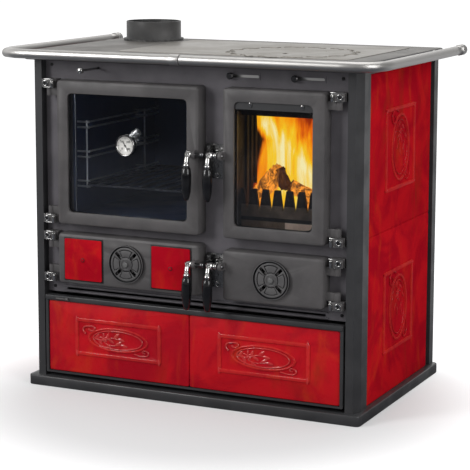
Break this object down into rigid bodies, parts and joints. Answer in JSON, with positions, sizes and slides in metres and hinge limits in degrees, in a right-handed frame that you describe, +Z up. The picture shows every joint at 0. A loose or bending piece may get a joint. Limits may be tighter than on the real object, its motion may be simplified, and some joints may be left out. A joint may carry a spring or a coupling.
{
  "type": "wood-burning range cooker",
  "caption": "Cast iron wood-burning range cooker with tiled sides, oven, firebox, soot and ash doors, storage drawer, steel hob, flue collar and towel rail.",
  "frame": {"origin": "centre of the cooker's overall footprint, rail included, on the floor", "axes": "+X to the right along the front, +Y from the front to the back, +Z up"},
  "size_m": [1.032, 0.6384, 0.909],
  "materials": {
    "cast_iron": "satin dark grey casting",
    "sheet_steel": "satin anthracite paint",
    "hob_steel": "ground and brushed",
    "chrome": "polished",
    "red_glaze": "glossy mottled red glaze",
    "door_glass": "clear heat-proof glass",
    "black_grip": "moulded black heat-proof grip",
    "dark_liner": "sooty dark casting and enamel",
    "bright_wire": "plain zinc wire and sheet",
    "dial": "white dial in a bright rim"
  },
  "bodies": {
    "cooker_body": {"plinth": "sheet_steel", "side_frame_left": "sheet_steel", "side_frame_right": "sheet_steel", "side_tile_left_lower": "red_glaze", "side_tile_left_upper": "red_glaze", "side_tile_right_lower": "red_glaze", "side_tile_right_upper": "red_glaze", "front_plate": "sheet_steel", "back_panel": "sheet_steel", "top_casting": "cast_iron", "hob_plate": "hob_steel", "hob_ring": "hob_steel", "flue_collar": "cast_iron", "rail_left": "chrome", "rail_right": "chrome", "oven_liner": "dark_liner", "rack_guide_left": "bright_wire", "rack_guide_right": "bright_wire", "oven_shelf": "bright_wire", "firebox_liner": "dark_liner", "fire_grate": "dark_liner", "log_guard": "dark_liner", "ash_pan": "bright_wire", "hinge_oven_upper": "chrome", "hinge_oven_lower": "chrome", "hinge_soot_upper": "chrome", "hinge_soot_lower": "chrome", "hinge_fire_upper": "chrome", "hinge_fire_lower": "chrome", "hinge_ash_upper": "chrome", "hinge_ash_lower": "chrome", "catch_upper": "chrome", "catch_lower": "chrome"},
    "hob_lid": {"hob_lid": "hob_steel"},
    "oven_door": {"oven_door_frame": "cast_iron", "oven_door_glass": "door_glass", "oven_thermometer": "dial"},
    "fire_door": {"fire_door_frame": "cast_iron", "fire_door_glass": "door_glass", "fire_glass_clip": "sheet_steel"},
    "soot_door": {"soot_door": "cast_iron", "soot_tile_left": "red_glaze", "soot_tile_right": "red_glaze"},
    "ash_door": {"ash_door": "cast_iron"},
    "soot_rosette": {"soot_rosette": "cast_iron"},
    "ash_rosette": {"ash_rosette": "cast_iron"},
    "oven_handle": {"oven_lever": "chrome", "oven_grip": "black_grip"},
    "fire_handle": {"fire_lever": "chrome", "fire_grip": "black_grip"},
    "soot_handle": {"soot_lever": "chrome", "soot_grip": "black_grip"},
    "ash_handle": {"ash_lever": "chrome", "ash_grip": "black_grip"},
    "air_slide_left": {"air_slide_left": "chrome"},
    "air_slide_right": {"air_slide_right": "chrome"},
    "damper_rod": {"damper_rod": "chrome"},
    "drawer": {"drawer_box": "sheet_steel", "drawer_tile_left": "red_glaze", "drawer_tile_right": "red_glaze"}
  },
  "joints": [
    {"name": "oven_door_hinge", "type": "hinge", "parent": "cooker_body", "child": "oven_door", "pos_m": [-0.389, -0.24275, 0.60675], "axis": [0, 0, -1], "range_deg": [0, 110]},
    {"name": "soot_door_hinge", "type": "hinge", "parent": "cooker_body", "child": "soot_door", "pos_m": [-0.389, -0.24275, 0.33925], "axis": [0, 0, -1], "range_deg": [0, 110]},
    {"name": "fire_door_hinge", "type": "hinge", "parent": "cooker_body", "child": "fire_door", "pos_m": [0.389, -0.24275, 0.60675], "axis": [0, 0, 1], "range_deg": [0, 110]},
    {"name": "ash_door_hinge", "type": "hinge", "parent": "cooker_body", "child": "ash_door", "pos_m": [0.389, -0.24275, 0.33525], "axis": [0, 0, 1], "range_deg": [0, 110]},
    {"name": "oven_handle_lift", "type": "hinge", "parent": "oven_door", "child": "oven_handle", "pos_m": [0.018, -0.28075, 0.626], "axis": [-1, 0, 0], "range_deg": [0, 80]},
    {"name": "soot_handle_lift", "type": "hinge", "parent": "soot_door", "child": "soot_handle", "pos_m": [0.018, -0.28075, 0.358], "axis": [-1, 0, 0], "range_deg": [0, 80]},
    {"name": "fire_handle_lift", "type": "hinge", "parent": "fire_door", "child": "fire_handle", "pos_m": [0.074, -0.28075, 0.626], "axis": [-1, 0, 0], "range_deg": [0, 80]},
    {"name": "ash_handle_lift", "type": "hinge", "parent": "ash_door", "child": "ash_handle", "pos_m": [0.074, -0.28075, 0.358], "axis": [-1, 0, 0], "range_deg": [0, 80]},
    {"name": "soot_rosette_turn", "type": "hinge", "parent": "soot_door", "child": "soot_rosette", "pos_m": [-0.1625, -0.26505, 0.33925], "axis": [0, 1, 0], "range_deg": [0, 45]},
    {"name": "ash_rosette_turn", "type": "hinge", "parent": "ash_door", "child": "ash_rosette", "pos_m": [0.22985, -0.26505, 0.33525], "axis": [0, 1, 0], "range_deg": [0, 45]},
    {"name": "air_slide_left_move", "type": "slide", "parent": "cooker_body", "child": "air_slide_left", "axis": [1, 0, 0], "range_m": [0, 0.055]},
    {"name": "air_slide_right_move", "type": "slide", "parent": "cooker_body", "child": "air_slide_right", "axis": [1, 0, 0], "range_m": [0, 0.055]},
    {"name": "damper_push", "type": "slide", "parent": "cooker_body", "child": "damper_rod", "axis": [0, 1, 0], "range_m": [0, 0.075]},
    {"name": "drawer_slide", "type": "slide", "parent": "cooker_body", "child": "drawer", "axis": [0, -1, 0], "range_m": [0, 0.38]},
    {"name": "hob_lid_lift", "type": "slide", "parent": "cooker_body", "child": "hob_lid", "axis": [0, 0, 1], "range_m": [0, 0.06]}
  ]
}
